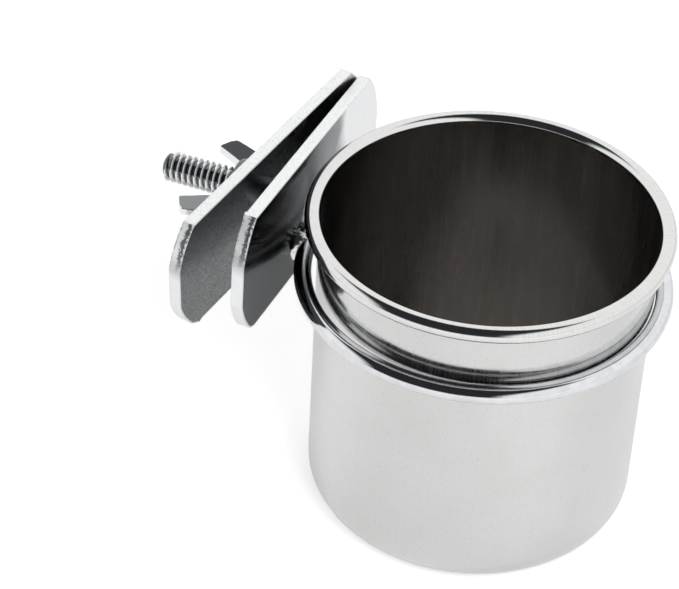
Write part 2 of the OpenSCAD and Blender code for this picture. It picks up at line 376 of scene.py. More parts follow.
# Each lump: depth from the jaw's face, distance to the side, rise above the hoop's middle, radius
WELD_LUMPS = [(0.0004, 0.0056, -0.0002, 0.0021), (0.0013, 0.0082, -0.0010, 0.0018),
              (0.0013, 0.0079, 0.0004, 0.0013), (0.0014, 0.0066, 0.0008, 0.0012),
              (0.0001, 0.0080, -0.0020, 0.0009), (0.0010, 0.0045, 0.0010, 0.0009)]
bm = bmesh.new()
for side in (-1, 1):
    for depth, reach, rise, radius in WELD_LUMPS:
        spot = Matrix.Translation((jaw_face + depth, side * reach, RING_HEIGHT + rise))
        bmesh.ops.create_icosphere(bm, subdivisions=3, radius=radius, matrix=spot)
for vert in bm.verts:
    vert.co += Vector((0, 1, 1)) * LUMP_SWELL * noise.noise(vert.co / LUMP_RUN)
    limit = WELD_END + WELD_SLOPE * (vert.co.x - jaw_face) + END_SWELL * noise.noise(vert.co / END_RUN)
    vert.co.y = min(max(vert.co.y, -limit), limit)
weld = sculpted("weld_beads", bm, voxel=0.00012, rounds=4)
for vert in weld.data.vertices:
    vert.co.x = min(max(vert.co.x, jaw_face), weld_high.x)
weld.data.materials.clear()
weld.data.materials.append(weld_metal)
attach(weld, "holder")
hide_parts("ring_weld")

# Spatter: drops 0.14 to 0.4 mm across, thrown on the jaw above one bead
spatter_sizes = {"Patch": 0.0028, "Density": 500000.0, "Smallest": 0.00007, "Largest": 0.0002,
                 "Seed": 7, "Place": (jaw_face, -0.0046, RING_HEIGHT + 0.0025)}
tree, given, sockets = tree_for("weld_spatter", spatter_sizes)
patch_of_jaw = add(tree, "GeometryNodeMeshGrid", None,
                   {"Size X": given.outputs["Patch"], "Size Y": given.outputs["Patch"],
                    "Vertices X": 2, "Vertices Y": 2})
thrown = add(tree, "GeometryNodeDistributePointsOnFaces", None,
             {"Mesh": patch_of_jaw.outputs[0], "Density": given.outputs["Density"],
              "Seed": given.outputs["Seed"]})
drop = add(tree, "GeometryNodeMeshIcoSphere", None, {"Radius": 1.0, "Subdivisions": 3})
drop_size = add(tree, "FunctionNodeRandomValue", {"data_type": "FLOAT"},
                {2: given.outputs["Smallest"], 3: given.outputs["Largest"],
                 "Seed": given.outputs["Seed"]})
drops = add(tree, "GeometryNodeInstanceOnPoints", None,
            {"Points": thrown.outputs[0], "Instance": drop.outputs[0], "Scale": drop_size.outputs[1]})
stood = add(tree, "GeometryNodeTransform", None,
            {"Geometry": drops.outputs[0], "Translation": given.outputs["Place"],
             "Rotation": (0, math.pi / 2, 0)})
spatter = grown("weld_spatter", tree, stood.outputs[0], weld_metal, sockets, spatter_sizes)
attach(spatter, "holder")


# Both jaws are punched from zinc-plated steel strip with the same die. Their faces keep the strip's
# gloss, the punch has rolled one edge over and left a bright band, and below it the metal tore off
# in a pale grainy zone with a sharp burr.

JAW_LENGTH = 0.0535
JAW_HEIGHT = 0.0254
JAW_BOW = 0.0055
JAW_THICKNESS = jaw_high.x - jaw_low.x
JAW_CORNER = 0.0042
JAW_END_CUT = 0.0006
OUTLINE_STEP = 0.0004
CORNER_STEPS = 14
FAR_END_STEPS = 70
ABOVE_CUT_STEPS = 26
BELOW_CUT_STEPS = 22
end_radius = ((JAW_HEIGHT / 2) ** 2 + JAW_BOW ** 2) / (2 * JAW_BOW)
end_mid = JAW_LENGTH / 2 + JAW_BOW - end_radius
corner_rise = JAW_CORNER - JAW_HEIGHT / 2
corner_in = end_mid + math.sqrt((end_radius - JAW_CORNER) ** 2 - corner_rise ** 2)
corner_turn = math.degrees(math.atan2(corner_rise, corner_in - end_mid))
top_turn = math.degrees(math.asin(JAW_HEIGHT / 2 / end_radius))
cut_turn = math.degrees(math.acos((JAW_LENGTH / 2 + JAW_BOW - JAW_END_CUT - end_mid) / end_radius))

# Each end is one arc with a rounded lower corner, and the near end has its middle cut short
half_outline = arc((corner_in, corner_rise), JAW_CORNER, -90, corner_turn, CORNER_STEPS)[:-1]
half_outline += arc((end_mid, 0), end_radius, corner_turn, top_turn, FAR_END_STEPS)
near_half = arc((end_mid, 0), end_radius, top_turn, cut_turn, ABOVE_CUT_STEPS)
near_half += arc((end_mid, 0), end_radius, -cut_turn, corner_turn, BELOW_CUT_STEPS)
near_half += arc((corner_in, corner_rise), JAW_CORNER, corner_turn, -90, CORNER_STEPS)[1:]
jaw_outline = [(-x, y) for x, y in near_half] + half_outline


def evenly(points, step):
    """Adds points to a closed outline wherever two of them are further apart than a step."""
    result = []
    for a, b in zip(points, points[1:] + points[:1]):
        count = max(1, math.ceil(math.dist(a, b) / step))
        result += [(a[0] + (b[0] - a[0]) * i / count, a[1] + (b[1] - a[1]) * i / count)
                   for i in range(count)]
    return result


# Each row of a punched edge: depth from the rolled face, how far it stands in, and its raggedness
EDGE_ROWS = [(0, 0.00070, 0), (0, 0.00036, 0), (0.00003, 0.00018, 0), (0.00012, 0.00006, 0.00001),
             (0.00028, 0, 0.00001), (0.00090, 0, 0.00001), (0.00105, 0.00003, 0.00003),
             (0.00140, 0.00004, 0.00004), (0.00185, 0.00005, 0.00004),
             (JAW_THICKNESS - 0.00012, 0.00006, 0.00004), (JAW_THICKNESS, 0.00004, 0.00004),
             (JAW_THICKNESS, 0.00018, 0), (JAW_THICKNESS, 0.0005, 0)]
TORN_GRAIN = 0.0006
FLAW_GRAIN = 0.0003
ROUND_SIDES = 96
# How far along the jaw a side has to face to count as part of an end
END_FACING = 0.3


def punched(name, outline, hole_rows, place, materials, flaws):
    """A punched strip part: its outline with rolled and torn edges, and a round hole through it.

    Its materials are those of the rolled face, the slit sides, the punched ends and the back.
    """
    bm = bmesh.new()
    count = len(outline)
    outwards = []
    for i in range(count):
        before, after = Vector(outline[i - 1]), Vector(outline[(i + 1) % count])
        run = (after - before).normalized()
        outwards.append(Vector((run.y, -run.x)))
    rows = []
    for depth, inset, rag in EDGE_ROWS:
        row = []
        for i, point in enumerate(outline):
            spot = Vector((point[0], point[1], depth))
            stand = rag * noise.noise(spot / TORN_GRAIN)
            for flaw_at, flaw_radius, flaw_height, flaw_depth in flaws:
                near = 1 - math.dist(point, flaw_at) / flaw_radius
                deep = 1 - abs(depth - flaw_depth) / JAW_THICKNESS
                if near > 0:
                    swell = 1 + noise.noise(spot / FLAW_GRAIN)
                    stand += flaw_height * near * max(0, deep) ** 3 * swell
            at = Vector(point) + outwards[i] * (stand - inset)
            row.append(bm.verts.new((at.x, at.y, depth)))
        rows.append(row)
    turns = [2 * math.pi * i / ROUND_SIDES for i in range(ROUND_SIDES)]
    hole = []
    for depth, radius in hole_rows:
        hole.append([bm.verts.new((radius * math.cos(a), radius * math.sin(a), depth)) for a in turns])
    run = [0]
    for i in range(count):
        run.append(run[-1] + math.dist(outline[i], outline[(i + 1) % count]))
    uv = bm.loops.layers.uv.new("run")
    for loops in (rows, hole):
        size = len(loops[0])
        for j, (low, high) in enumerate(zip(loops, loops[1:])):
            for i in range(size):
                k = (i + 1) % size
                face = bm.faces.new((low[i], low[k], high[k], high[i]))
                face.smooth = True
                at_end = loops is rows and abs(outwards[i].x) > END_FACING
                if 0 < j < len(loops) - 2:
                    face.material_index = 2 if at_end else 1
                elif j > 0:
                    face.material_index = 3
                if loops is rows:
                    steps = (i, i + 1, i + 1, i)
                    for loop, step in zip(face.loops, steps):
                        loop[uv].uv = (run[step], loop.vert.co.z)
    for outer, inner, index in ((rows[0], hole[0], 0), (rows[-1], hole[-1], 3)):
        rim_edges = [bm.edges.get((loop[i], loop[i - 1])) for loop in (outer, inner)
                     for i in range(len(loop))]
        filled = bmesh.ops.triangle_fill(bm, use_beauty=True, edges=rim_edges)
        for face in filled["geom"]:
            if isinstance(face, bmesh.types.BMFace):
                face.smooth = True
                face.material_index = index
    bmesh.ops.transform(bm, matrix=place, verts=bm.verts)
    return made_of(name, bm, materials)


# Bright zinc on cold-rolled strip: a glossy skin with a slight orange peel and a cool tint. Its tones
# along the jaw are painted reflection: dark where the face mirrors the dark room, pale towards the far
# end where it mirrors the white room. The loose jaw's is hazier than the fixed jaw's.
PAINTED_REFLECTION_FROM, PAINTED_REFLECTION_TO = -0.027, 0.038


def strip_face(name, painted_reflection_tones, gloss, peel_size, grain_share):
    """The finish of a jaw's face, with painted reflection in its tones along the jaw from the open end
    to the closed one.
    """
    made, tree, shader, place = new_material(name, 1)
    peel = add(tree, "ShaderNodeTexNoise", None,
               {"Vector": place.outputs["Object"], "Scale": 1 / peel_size, "Detail": 3.0})
    sweep = add(tree, "ShaderNodeTexNoise", None,
                {"Vector": place.outputs["Object"], "Scale": 1 / 0.009, "Detail": 2.0})
    along = add(tree, "ShaderNodeSeparateXYZ", None, {0: place.outputs["Object"]})
    drift = add(tree, "ShaderNodeMath", {"operation": "MULTIPLY_ADD"},
                {0: sweep.outputs["Fac"], 1: 0.010, 2: along.outputs["Y"]})
    share = add(tree, "ShaderNodeMapRange", None,
                {"Value": drift.outputs[0], "From Min": PAINTED_REFLECTION_FROM, "From Max": PAINTED_REFLECTION_TO})
    painted_reflection = add(tree, "ShaderNodeValToRGB", {"stops": painted_reflection_tones}, {"Fac": share.outputs[0]})
    fine = add(tree, "ShaderNodeTexNoise", None,
               {"Vector": place.outputs["Object"], "Scale": 1 / 0.0004, "Detail": 2.0, "Roughness": 0.8})
    fine_tone = add(tree, "ShaderNodeValToRGB", {"stops": [(0.38, "#7A7A7A"), (0.62, "#FFFFFF")]},
                    {"Fac": fine.outputs["Fac"]})
    grained = add(tree, "ShaderNodeMix", {"data_type": "RGBA", "blend_type": "MULTIPLY"},
                  {"Factor": grain_share, "A": painted_reflection.outputs[0], "B": fine_tone.outputs[0]})
    shine = add(tree, "ShaderNodeMapRange", None,
                {"Value": sweep.outputs["Fac"], "From Min": 0.3, "From Max": 0.7,
                 "To Min": gloss[0], "To Max": gloss[1]})
    bump = add(tree, "ShaderNodeBump", None,
               {"Height": peel.outputs["Fac"], "Strength": 0.18, "Distance": 0.00004})
    feed(tree, shader, {"Base Color": grained.outputs["Result"], "Roughness": shine.outputs[0],
                        "Normal": bump.outputs[0]})
    return made


# The fixed face's dark open end and middle and its white far end are painted reflection, as is the loose
# face's pale far end.
fixed_face = strip_face("bright_zinc_fixed_jaw_face",
                        [(0.0, "#4C4F52"), (0.3, "#33363A"), (0.5, "#3A3D40"), (0.66, "#85888B"),
                         (0.74, "#F8FAFB")], (0.12, 0.2), 0.0006, 0.1)
loose_face = strip_face("bright_zinc_loose_jaw_face",
                        [(0.0, "#A2A4A6"), (0.5, "#B2B4B6"), (1.0, "#ECEEF0")],
                        (0.22, 0.3), 0.0003, 0.6)

# Slit steel under zinc, along the strip's two sides: white sparkling grains about 0.2 mm across.
edge_zinc, tree, shader, place = new_material("bright_zinc_slit_edge", 0.5)
grain = add(tree, "ShaderNodeTexNoise", None,
            {"Vector": place.outputs["Object"], "Scale": 1 / 0.0003, "Detail": 4.0, "Roughness": 0.65})
edge_tone = add(tree, "ShaderNodeValToRGB", {"stops": [(0.28, "#CBD0D2"), (0.5, "#FAFBFB")]},
                {"Fac": grain.outputs["Fac"]})
edge_bump = add(tree, "ShaderNodeBump", None,
                {"Height": grain.outputs["Fac"], "Strength": 0.5, "Distance": 0.0001})
feed(tree, shader, {"Base Color": edge_tone.outputs[0], "Roughness": 0.42,
                    "Normal": edge_bump.outputs[0]})

# Punched steel under zinc, round the two ends: a rolled lip with a painted highlight, then a band that
# the die rubbed smooth, painted dark as a reflection of the dark room, then a torn white band. These
# bands hold at the open end's top corner and give way to a plain pale end further round. Grains of half
# a millimetre shift the bands' borders up and down.
BORDER_SHIFT = 0.0026
end_zinc, tree, shader, place = new_material("bright_zinc_punched_end", 0.7)
on_end = add(tree, "ShaderNodeSeparateXYZ", None, {0: place.outputs["UV"]})
grit = add(tree, "ShaderNodeTexNoise", None,
           {"Vector": place.outputs["Object"], "Scale": 1 / 0.0005, "Detail": 4.0, "Roughness": 0.8})
ragged = add(tree, "ShaderNodeMath", {"operation": "MULTIPLY_ADD"},
             {0: grit.outputs["Fac"], 1: BORDER_SHIFT, 2: on_end.outputs["Y"]})
depth_share = add(tree, "ShaderNodeMapRange", None,
                  {"Value": ragged.outputs[0], "From Min": BORDER_SHIFT / 2,
                   "From Max": JAW_THICKNESS + BORDER_SHIFT / 2})
# The lip's stop is a painted highlight, and the two dark stops are the rubbed band's painted reflection
# of the dark room. The white stops are the torn zone's pale grain.
painted_end_bands = add(tree, "ShaderNodeValToRGB",
            {"stops": [(0.05, "#F4F6F7"), (0.14, "#5A5E61"), (0.4, "#74797C"), (0.5, "#F2F4F4"),
                       (0.92, "#FAFBFB"), (1.0, "#AEB3B6")]}, {"Fac": depth_share.outputs[0]})
end_share = add(tree, "ShaderNodeMapRange", None,
                {"Value": on_end.outputs["X"], "From Min": 0.0, "From Max": 0.02})
clean = add(tree, "ShaderNodeValToRGB", {"stops": [(0.4, "#A6A9AB"), (0.6, "#ECEEEF")]},
            {"Fac": end_share.outputs[0]})
painted_band_fade = add(tree, "ShaderNodeMapRange", None,
            {"Value": end_share.outputs[0], "From Min": 0.3, "From Max": 0.5})
end_tone = add(tree, "ShaderNodeMix", {"data_type": "RGBA"},
               {"Factor": painted_band_fade.outputs[0], "A": painted_end_bands.outputs[0], "B": clean.outputs[0]})
end_bump = add(tree, "ShaderNodeBump", None,
               {"Height": grit.outputs["Fac"], "Strength": 0.7, "Distance": 0.00016})
feed(tree, shader, {"Base Color": end_tone.outputs["Result"], "Roughness": 0.28,
                    "Normal": end_bump.outputs[0]})

STUD_RADIUS = 0.0031
RIVET_RADIUS = 0.0042
RIVET_DEPTH = 0.0008
SEAT_GAP = 0.00003
HOLE_MARGIN = 0.0005
HOLE_BEVEL = 0.0001
# How each jaw hangs on the stud: its turn about it, in degrees, and how far its middle lies off it
FIXED_TURN = -2.2
FIXED_MIDDLE = (0.0009, 0.0007)
stud_low, stud_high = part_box("clamp_stud")
STUD_HEIGHT = (stud_low.z + stud_high.z) / 2
stand_up = Matrix(((0, 0, -1, 0), (1, 0, 0, 0), (0, 1, 0, 0), (0, 0, 0, 1)))


def jaw_points(points, turn, middle):
    """Points of the outline's own plane, turned and moved to their places about the stud."""
    c, s = math.cos(math.radians(turn)), math.sin(math.radians(turn))
    return [(middle[0] + c * x - s * y, middle[1] + s * x + c * y) for x, y in points]


# The two flaws of the open end: a burr at its top corner, and a nick at the start of the lower one
NEAR_TOP = (-JAW_LENGTH / 2, JAW_HEIGHT / 2)
NEAR_BOTTOM = (-corner_in - 0.0006, -JAW_HEIGHT / 2)
blank = evenly(jaw_outline, OUTLINE_STEP)
burr_at, = jaw_points([NEAR_TOP], FIXED_TURN, FIXED_MIDDLE)
fixed_place = Matrix.Translation((jaw_face, 0, STUD_HEIGHT)) @ stand_up
fixed_hole = [(0, RIVET_RADIUS + HOLE_MARGIN), (0, RIVET_RADIUS + SEAT_GAP),
              (RIVET_DEPTH, STUD_RADIUS + SEAT_GAP), (JAW_THICKNESS, STUD_RADIUS + SEAT_GAP),
              (JAW_THICKNESS, STUD_RADIUS + HOLE_MARGIN)]
# Each flaw: where, how far round, how high and how deep in the edge
fixed_flaws = [(burr_at, 0.0010, 0.0007, JAW_THICKNESS)]
fixed_jaw = punched("fixed_jaw", jaw_points(blank, FIXED_TURN, FIXED_MIDDLE), fixed_hole, fixed_place,
                    [fixed_face, edge_zinc, end_zinc, loose_face], fixed_flaws)
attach(fixed_jaw, "holder")
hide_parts("inner_plate")


# The stud is a plated screw riveted into a countersink of the fixed jaw. Its thread has a pitch of
# 1.27 mm, with a painted highlight on its crests.

# Rolled thread under bright zinc: painted highlights on the crests, painted shade in the roots, and
# rough streaks down the flanks. The tone follows the distance from the stud's middle line.
thread_zinc, tree, shader, place = new_material("bright_zinc_thread", 1)
streak = add(tree, "ShaderNodeTexNoise", None,
             {"Vector": place.outputs["Object"], "Scale": 1 / 0.0004, "Detail": 3.0})
PITCH = 0.00127
THREAD_DEPTH = 0.6 * PITCH
ROOT_RADIUS = STUD_RADIUS - THREAD_DEPTH
from_axis = add(tree, "ShaderNodeMapping", None,
                {"Vector": place.outputs["Object"], "Location": (0, 0, -STUD_HEIGHT),
                 "Scale": (0, 1, 1)})
away = add(tree, "ShaderNodeVectorMath", {"operation": "LENGTH"}, {0: from_axis.outputs[0]})
streaked = add(tree, "ShaderNodeMath", {"operation": "MULTIPLY_ADD"},
               {0: streak.outputs["Fac"], 1: 0.0004, 2: away.outputs["Value"]})
crest_light_share = add(tree, "ShaderNodeMapRange", None,
                  {"Value": streaked.outputs[0], "From Min": ROOT_RADIUS + 0.0002,
                   "From Max": STUD_RADIUS + 0.0002})
# Painted light: the crests are painted near white as a highlight and the roots grey as shade.
crest_light_and_root_shade = add(tree, "ShaderNodeValToRGB", {"stops": [(0.1, "#808284"), (0.8, "#F6F7F7")]},
                  {"Fac": crest_light_share.outputs[0]})
thread_bump = add(tree, "ShaderNodeBump", None,
                  {"Height": streak.outputs["Fac"], "Strength": 0.35, "Distance": 0.00006})
feed(tree, shader, {"Base Color": crest_light_and_root_shade.outputs[0], "Roughness": 0.16,
                    "Normal": thread_bump.outputs[0]})


def on_stud(x):
    """Turns a shape made round Z to lie along the stud, with its base at this place on X."""
    return Matrix.Translation((x, 0, STUD_HEIGHT)) @ Matrix.Rotation(-math.pi / 2, 4, "Y")


STUD_LENGTH = stud_high.x - stud_low.x
THREAD_START = 0.0031
# How far the thread is sunk in the core and runs out at its start, and the bevel of the stud's tip
THREAD_SINK = 0.0002
TIP_BEVEL = 0.0007
core = [(0, 0), (RIVET_RADIUS * 0.5, 0), (RIVET_RADIUS - 0.0002, 0), (RIVET_RADIUS, 0.00006),
        (STUD_RADIUS, RIVET_DEPTH), (STUD_RADIUS, THREAD_START - THREAD_SINK),
        (ROOT_RADIUS, THREAD_START + THREAD_SINK), (ROOT_RADIUS, STUD_LENGTH - TIP_BEVEL),
        (ROOT_RADIUS - 0.0002, STUD_LENGTH - 0.00025), (ROOT_RADIUS - TIP_BEVEL, STUD_LENGTH),
        (0, STUD_LENGTH)]
stud = revolved("stud_core", core, ROUND_SIDES, [0] * (len(core) - 1), [thread_zinc])
stud.data.transform(on_stud(jaw_face))
stud.data.set_sharp_from_angle(angle=math.radians(35))

# The thread stops this share of a turn before the tip
TIP_TURN = 0.55
thread_sizes = {"Radius": ROOT_RADIUS, "Pitch": PITCH,
                "Turns": (STUD_LENGTH - THREAD_START) / PITCH - TIP_TURN, "Steps": 64,
                "Depth": THREAD_DEPTH, "Root half": 0.44 * PITCH,
                "Crest half": 0.05 * PITCH, "Sunk": -THREAD_SINK, "Start": THREAD_START + THREAD_SINK}
tree, given, sockets = tree_for("screw_thread", thread_sizes)
rise = add(tree, "ShaderNodeMath", {"operation": "MULTIPLY"},
           {0: given.outputs["Pitch"], 1: given.outputs["Turns"]})
spiral = add(tree, "GeometryNodeCurveSpiral", None,
             {"Resolution": given.outputs["Steps"], "Rotations": given.outputs["Turns"],
              "Start Radius": given.outputs["Radius"], "End Radius": given.outputs["Radius"],
              "Height": rise.outputs[0], "Reverse": True})
upright = add(tree, "GeometryNodeSetCurveNormal", {"mode": "Z_UP"}, {"Curve": spiral.outputs[0]})
place_on = add(tree, "GeometryNodeSplineParameter")
from_end = add(tree, "ShaderNodeMath", {"operation": "PINGPONG"},
               {0: place_on.outputs["Factor"], 1: 0.5})
taper = add(tree, "ShaderNodeMapRange", None,
            {"Value": from_end.outputs[0], "From Min": 0.0, "From Max": 0.02})
# Each corner of the ridge: the size that sets how far it stands out, and its half width and side
RIDGE_CORNERS = [("Sunk", "Root half", -1.0), ("Depth", "Crest half", -1.0),
                 ("Depth", "Crest half", 1.0), ("Sunk", "Root half", 1.0)]
ridge_points = {}
for number, (out, half, side) in enumerate(RIDGE_CORNERS, 1):
    across = add(tree, "ShaderNodeMath", {"operation": "MULTIPLY"}, {0: given.outputs[half], 1: side})
    point = add(tree, "ShaderNodeCombineXYZ", None, {"X": given.outputs[out], "Y": across.outputs[0]})
    ridge_points[f"Point {number}"] = point.outputs[0]
ridge = add(tree, "GeometryNodeCurvePrimitiveQuadrilateral", {"mode": "POINTS"}, ridge_points)
cut = add(tree, "GeometryNodeCurveToMesh", None,
          {"Curve": upright.outputs[0], "Profile Curve": ridge.outputs[0],
           "Scale": taper.outputs[0], "Fill Caps": True})
lift = add(tree, "ShaderNodeCombineXYZ", None, {"Z": given.outputs["Start"]})
moved = add(tree, "GeometryNodeTransform", None,
            {"Geometry": cut.outputs[0], "Translation": lift.outputs[0]})
thread = grown("screw_thread", tree, moved.outputs[0], thread_zinc, sockets, thread_sizes)
thread.data.transform(on_stud(jaw_face))
thread.data.set_sharp_from_angle(angle=math.radians(30))
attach(stud, "holder")
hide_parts("clamp_stud")
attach(thread, "holder")


# The loose jaw is the same blank with a hole that clears the stud. It leans open about its closed
# end, where it rests on the fixed jaw, so that a cage bar can stand between the two open ends.

LOOSE_TURN = 5
LOOSE_MIDDLE = (-0.0002, -0.00045)
LOOSE_HOLE = STUD_RADIUS + 0.0011
OPEN_ANGLE = math.radians(9.3)
PIVOT_LEAN = math.radians(12.4)
pivot_reach = (LOOSE_MIDDLE[0] * math.cos(PIVOT_LEAN) + LOOSE_MIDDLE[1] * math.sin(PIVOT_LEAN)
               + end_mid * math.cos(PIVOT_LEAN - math.radians(LOOSE_TURN)) + end_radius)
loose_place = (Matrix.Translation((jaw_low.x - SEAT_GAP, 0, STUD_HEIGHT))
               @ Matrix.Rotation(PIVOT_LEAN, 4, "X") @ Matrix.Translation((0, pivot_reach, 0))
               @ Matrix.Rotation(-OPEN_ANGLE, 4, "Z") @ Matrix.Translation((0, -pivot_reach, 0))
               @ Matrix.Rotation(-PIVOT_LEAN, 4, "X") @ stand_up)
loose_hole = [(0, LOOSE_HOLE + HOLE_MARGIN), (0, LOOSE_HOLE + HOLE_BEVEL), (HOLE_BEVEL, LOOSE_HOLE),
              (JAW_THICKNESS - HOLE_BEVEL, LOOSE_HOLE), (JAW_THICKNESS, LOOSE_HOLE + HOLE_BEVEL),
              (JAW_THICKNESS, LOOSE_HOLE + HOLE_MARGIN)]
nick_at, = jaw_points([NEAR_BOTTOM], LOOSE_TURN, LOOSE_MIDDLE)
loose_flaws = [(nick_at, 0.0007, 0.0005, 0)]
loose_jaw = punched("loose_jaw", jaw_points(blank, LOOSE_TURN, LOOSE_MIDDLE), loose_hole, loose_place,
                    [loose_face, edge_zinc, end_zinc, loose_face], loose_flaws)
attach(loose_jaw, "loose_jaw")
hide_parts("outer_plate")


# A flat punched washer lies between the loose jaw and the nut. It spreads the nut's push over the
# wide hole of the jaw, is zinc plated as the jaw is, and has small rounded edges.

washer_low, washer_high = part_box("washer")
WASHER_THICKNESS = washer_high.x - washer_low.x
WASHER_RADIUS = (washer_high.y - washer_low.y) / 2
WASHER_HOLE = STUD_RADIUS + 0.00025
EDGE_ROUND = 0.00015
washer_profile = [(WASHER_HOLE, EDGE_ROUND), (WASHER_HOLE + EDGE_ROUND, 0),
                  (WASHER_RADIUS - EDGE_ROUND, 0), (WASHER_RADIUS, EDGE_ROUND),
                  (WASHER_RADIUS, WASHER_THICKNESS - EDGE_ROUND),
                  (WASHER_RADIUS - EDGE_ROUND, WASHER_THICKNESS),
                  (WASHER_HOLE + EDGE_ROUND, WASHER_THICKNESS),
                  (WASHER_HOLE, WASHER_THICKNESS - EDGE_ROUND)]
washer_profile.append(washer_profile[0])
washer = revolved("flat_washer", washer_profile, ROUND_SIDES, [0] * (len(washer_profile) - 1),
                  [loose_face])
merge = bmesh.new()
merge.from_mesh(washer.data)
bmesh.ops.remove_doubles(merge, verts=merge.verts, dist=1e-7)
bmesh.ops.recalc_face_normals(merge, faces=merge.faces)
merge.to_mesh(washer.data)
merge.free()
washer.data.transform(on_stud(washer_high.x))
washer.data.set_sharp_from_angle(angle=math.radians(30))
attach(washer, "washer")
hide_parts("washer")


# The wing nut is one casting with a tapered hub and two thin wings that end in blunt corners, plated
# bright over the grain of the mould.

# Cast and plated: a skin mottled by the mould, with slanting file marks. Its colour is painted darker
# from the near wing to the far one as shade, and its edges carry a painted highlight.
cast_zinc, tree, shader, place = new_material("bright_zinc_casting", 1)
mould = add(tree, "ShaderNodeTexNoise", None,
            {"Vector": place.outputs["Object"], "Scale": 1 / 0.0016, "Detail": 2.0})
file_space = add(tree, "ShaderNodeMapping", None,
                 {"Vector": place.outputs["Object"], "Rotation": (0.4, 0.2, 0.7),
                  "Scale": (1 / 0.0002, 1 / 0.005, 1 / 0.0002)})
file_mark = add(tree, "ShaderNodeTexNoise", None,
                {"Vector": file_space.outputs[0], "Scale": 1.0, "Detail": 2.0})
cast_at = add(tree, "ShaderNodeSeparateXYZ", None, {0: place.outputs["Object"]})
mottle_and_painted_shade = add(tree, "ShaderNodeMath", {"operation": "MULTIPLY_ADD"},
             {0: mould.outputs["Fac"], 1: 0.004, 2: cast_at.outputs["Y"]})
cast_share = add(tree, "ShaderNodeMapRange", None,
                 {"Value": mottle_and_painted_shade.outputs[0], "From Min": -0.004, "From Max": 0.008})
# Painted shade: pale on the near wing and dark on the far one along Y, mottled by the mould grain.
cast_tone = add(tree, "ShaderNodeValToRGB", {"stops": [(0.1, "#8C8E90"), (0.9, "#46484A")]},
                {"Fac": cast_share.outputs[0]})
# A painted highlight along the wings' rounded edges, read from a point attribute.
worn = add(tree, "ShaderNodeAttribute", {"attribute_name": "worn"})
cast_with_edge_highlight = add(tree, "ShaderNodeMix", {"data_type": "RGBA"},
                {"Factor": worn.outputs["Fac"], "A": cast_tone.outputs[0], "B": linear("#F0F1F2")})
cast_bump = add(tree, "ShaderNodeBump", None,
                {"Height": mould.outputs["Fac"], "Strength": 0.15, "Distance": 0.00008})
mark_bump = add(tree, "ShaderNodeBump", None,
                {"Height": file_mark.outputs["Fac"], "Strength": 0.35, "Distance": 0.00005,
                 "Normal": cast_bump.outputs[0]})
feed(tree, shader, {"Base Color": cast_with_edge_highlight.outputs["Result"], "Roughness": 0.11,
                    "Normal": mark_bump.outputs[0]})

nut_low, nut_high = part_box("wing_nut")
NUT_HEIGHT = nut_high.x - nut_low.x
HALF_SPAN = (nut_high.y - nut_low.y) / 2
HUB_BASE = 0.0123 / 2
HUB_TOP = 0.0104 / 2
HUB_HEIGHT = 0.0034
WING_ROOT = 0.0019
WING_TIP = 0.0015
# The share of the half span from which a wing thins towards its tip
THIN_FROM = 0.4
# Each point of a wing: share of the nut's height and of its half span
WING_OUTLINE = [(0.24, 0.36), (0.1, 0.45), (0.35, 0.84), (0.74, 0.985), (0.82, 1), (0.9, 0.92),
                (1, 0.76), (1, 0.72)]
BORE = STUD_RADIUS + 0.00005
DRILL_LENGTH = 0.03
bm = bmesh.new()
bmesh.ops.create_cone(bm, cap_ends=True, segments=64, radius1=HUB_BASE, radius2=HUB_TOP,
                      depth=HUB_HEIGHT, matrix=Matrix.Translation((0, 0, HUB_HEIGHT / 2)))
for side in (-1, 1):
    faces = []
    for half in (-1, 1):
        verts = []
        for up, out in WING_OUTLINE:
            thick = WING_ROOT + (WING_TIP - WING_ROOT) * max(0, out - THIN_FROM) / (1 - THIN_FROM)
            verts.append(bm.verts.new((half * thick / 2, side * out * HALF_SPAN, up * NUT_HEIGHT)))
        faces.append(verts)
        bm.faces.new(verts if half > 0 else verts[::-1])
    for i in range(len(WING_OUTLINE)):
        k = (i + 1) % len(WING_OUTLINE)
        bm.faces.new((faces[0][i], faces[0][k], faces[1][k], faces[1][i]))
nut = sculpted("wing_nut_casting", bm, voxel=0.00011, rounds=2)
drill = bmesh.new()
bmesh.ops.create_cone(drill, cap_ends=True, segments=ROUND_SIDES, radius1=BORE, radius2=BORE,
                      depth=DRILL_LENGTH)
drill_object = made_of("drill", drill)
bore = nut.modifiers.new("bore", "BOOLEAN")
bore.operation = "DIFFERENCE"
bore.solver = "EXACT"
bore.object = drill_object
bpy.context.view_layer.update()
settle(nut)
bpy.data.objects.remove(drill_object)
for vert in nut.data.vertices:
    vert.co.z = min(max(vert.co.z, 0), NUT_HEIGHT)
nut.data.transform(on_stud(nut_high.x))
nut.data.materials.clear()
nut.data.materials.append(cast_zinc)
nut.data.set_sharp_from_angle(angle=math.radians(50))
# The painted highlight starts where the wings' flat faces round off to their edges
FLAT_FACING = 0.985
HIGHLIGHT_GAIN = 15
edge_highlight_share = nut.data.attributes.new("worn", "FLOAT", "POINT")
for vert in nut.data.vertices:
    if math.hypot(vert.co.y, vert.co.z - STUD_HEIGHT) > HUB_BASE:
        highlight_amount = (FLAT_FACING - abs(vert.normal.z)) * HIGHLIGHT_GAIN
        edge_highlight_share.data[vert.index].value = min(1, max(0, highlight_amount))
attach(nut, "wing_nut")
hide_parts("wing_nut")


# The studio: a plain pale floor under the cup, soft lamps all round, and an even white backdrop. The
# room's ceiling is unlit from behind the camera to just past the middle, which is the dark band that
# the rim and the ring show.

FLOOR_SIZE = 6
bpy.ops.mesh.primitive_plane_add(size=FLOOR_SIZE)
floor = bpy.context.object
floor.name = "floor"
pale, tree, shader, place = new_material("pale_floor", 0)
feed(tree, shader, {"Base Color": linear("#F2F2F2"), "Roughness": 0.9, "Specular IOR Level": 0})
